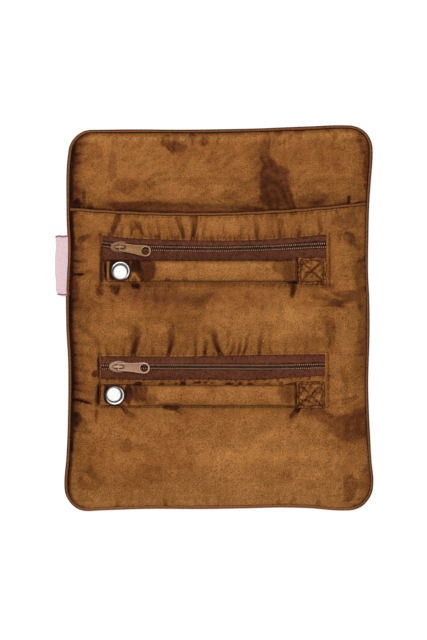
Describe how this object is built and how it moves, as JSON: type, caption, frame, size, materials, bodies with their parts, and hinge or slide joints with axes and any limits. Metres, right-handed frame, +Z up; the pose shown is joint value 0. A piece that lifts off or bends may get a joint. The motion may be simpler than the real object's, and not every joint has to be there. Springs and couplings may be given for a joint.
{
  "type": "jewelry roll",
  "caption": "Padded satin roll that folds up in sections, with an open pocket, zipped pockets and padded ring bars that snap shut, all edges piped.",
  "frame": {"origin": "on the flat underside of the upper section's outer cover, at the middle of the width and 2 mm above the middle fold", "axes": "+X to the right, +Y towards the top edge, +Z up from the surface that the open roll lies on"},
  "size_m": [0.2117, 0.2588, 0.0144],
  "materials": {
    "satin": "copper brown satin",
    "piping_satin": "satin piping",
    "bag_satin": "satin pocket lining",
    "wadding": "polyester wadding",
    "zip_tape": "woven zip tape",
    "zip_teeth": "nylon teeth",
    "upper_zip_metal": "bronze lacquer",
    "lower_zip_metal": "pale copper lacquer",
    "snap_metal": "polished nickel",
    "label_ribbon": "bare woven ribbon"
  },
  "bodies": {
    "upper_panel": {"upper_cover": "satin", "upper_padding": "wadding", "upper_lining": "satin", "upper_front_panel": "satin", "mouth_piping": "piping_satin", "upper_piping_left": "piping_satin", "upper_piping_right": "piping_satin", "side_label": "label_ribbon", "upper_zip_tape_above": "zip_tape", "upper_zip_tape_below": "zip_tape", "upper_zip_teeth_above": "zip_teeth", "upper_zip_teeth_below": "zip_teeth", "upper_pocket_bag": "bag_satin", "upper_bar_end_patch": "satin", "upper_snap_stud": "snap_metal", "upper_snap_post": "snap_metal"},
    "top_flap": {"top_flap_cover": "satin", "top_flap_padding": "wadding", "top_flap_lining": "satin", "top_flap_piping": "piping_satin"},
    "lower_panel": {"lower_cover": "satin", "lower_padding": "wadding", "lower_lining": "satin", "lower_front_panel": "satin", "lower_piping_left": "piping_satin", "lower_piping_right": "piping_satin", "lower_zip_tape_above": "zip_tape", "lower_zip_tape_below": "zip_tape", "lower_zip_teeth_above": "zip_teeth", "lower_zip_teeth_below": "zip_teeth", "lower_pocket_bag": "bag_satin", "lower_bar_end_patch": "satin", "lower_snap_stud": "snap_metal", "lower_snap_post": "snap_metal"},
    "bottom_flap": {"bottom_flap_cover": "satin", "bottom_flap_padding": "wadding", "bottom_flap_lining": "satin", "bottom_flap_front_panel": "satin", "bottom_flap_piping": "piping_satin"},
    "upper_slider": {"upper_zip_slider": "upper_zip_metal"},
    "upper_pull": {"upper_zip_pull": "upper_zip_metal"},
    "lower_slider": {"lower_zip_slider": "lower_zip_metal"},
    "lower_pull": {"lower_zip_pull": "lower_zip_metal"},
    "upper_bar": {"upper_bar_cover": "satin", "upper_bar_filling": "wadding", "upper_snap_cap": "snap_metal", "upper_snap_socket": "snap_metal"},
    "lower_bar": {"lower_bar_cover": "satin", "lower_bar_filling": "wadding", "lower_snap_cap": "snap_metal", "lower_snap_socket": "snap_metal"}
  },
  "joints": [
    {"name": "top_fold", "type": "hinge", "parent": "upper_panel", "child": "top_flap", "pos_m": [0, 0.07991, 0.0213], "axis": [1, 0, 0], "range_deg": [0, 180]},
    {"name": "middle_fold", "type": "hinge", "parent": "upper_panel", "child": "lower_panel", "pos_m": [0, -0.002, 0.019], "axis": [-1, 0, 0], "range_deg": [0, 180]},
    {"name": "bottom_fold", "type": "hinge", "parent": "lower_panel", "child": "bottom_flap", "pos_m": [0, -0.06599, 0.0114], "axis": [-1, 0, 0], "range_deg": [0, 180]},
    {"name": "upper_zip_slide", "type": "slide", "parent": "upper_panel", "child": "upper_slider", "axis": [1, 0, 0], "range_m": [0, 0.13], "deforming": ["upper_zip_teeth_above", "upper_zip_teeth_below"]},
    {"name": "upper_pull_hinge", "type": "hinge", "parent": "upper_slider", "child": "upper_pull", "pos_m": [-0.0662, 0.04822, 0.0088], "axis": [0.1564, 0.9877, 0], "range_deg": [-175, 0]},
    {"name": "upper_bar_hinge", "type": "hinge", "parent": "upper_panel", "child": "upper_bar", "pos_m": [0.0526, 0.03205, 0.01], "axis": [0, -1, 0], "range_deg": [-135, 0]},
    {"name": "lower_zip_slide", "type": "slide", "parent": "lower_panel", "child": "lower_slider", "axis": [1, 0, 0], "range_m": [0, 0.13], "deforming": ["lower_zip_teeth_above", "lower_zip_teeth_below"]},
    {"name": "lower_pull_hinge", "type": "hinge", "parent": "lower_slider", "child": "lower_pull", "pos_m": [-0.0672, -0.0319, 0.0088], "axis": [0.0523, 0.9986, 0], "range_deg": [-175, 0]},
    {"name": "lower_bar_hinge", "type": "hinge", "parent": "lower_panel", "child": "lower_bar", "pos_m": [0.0516, -0.05094, 0.01], "axis": [0, -1, 0], "range_deg": [-135, 0]}
  ]
}
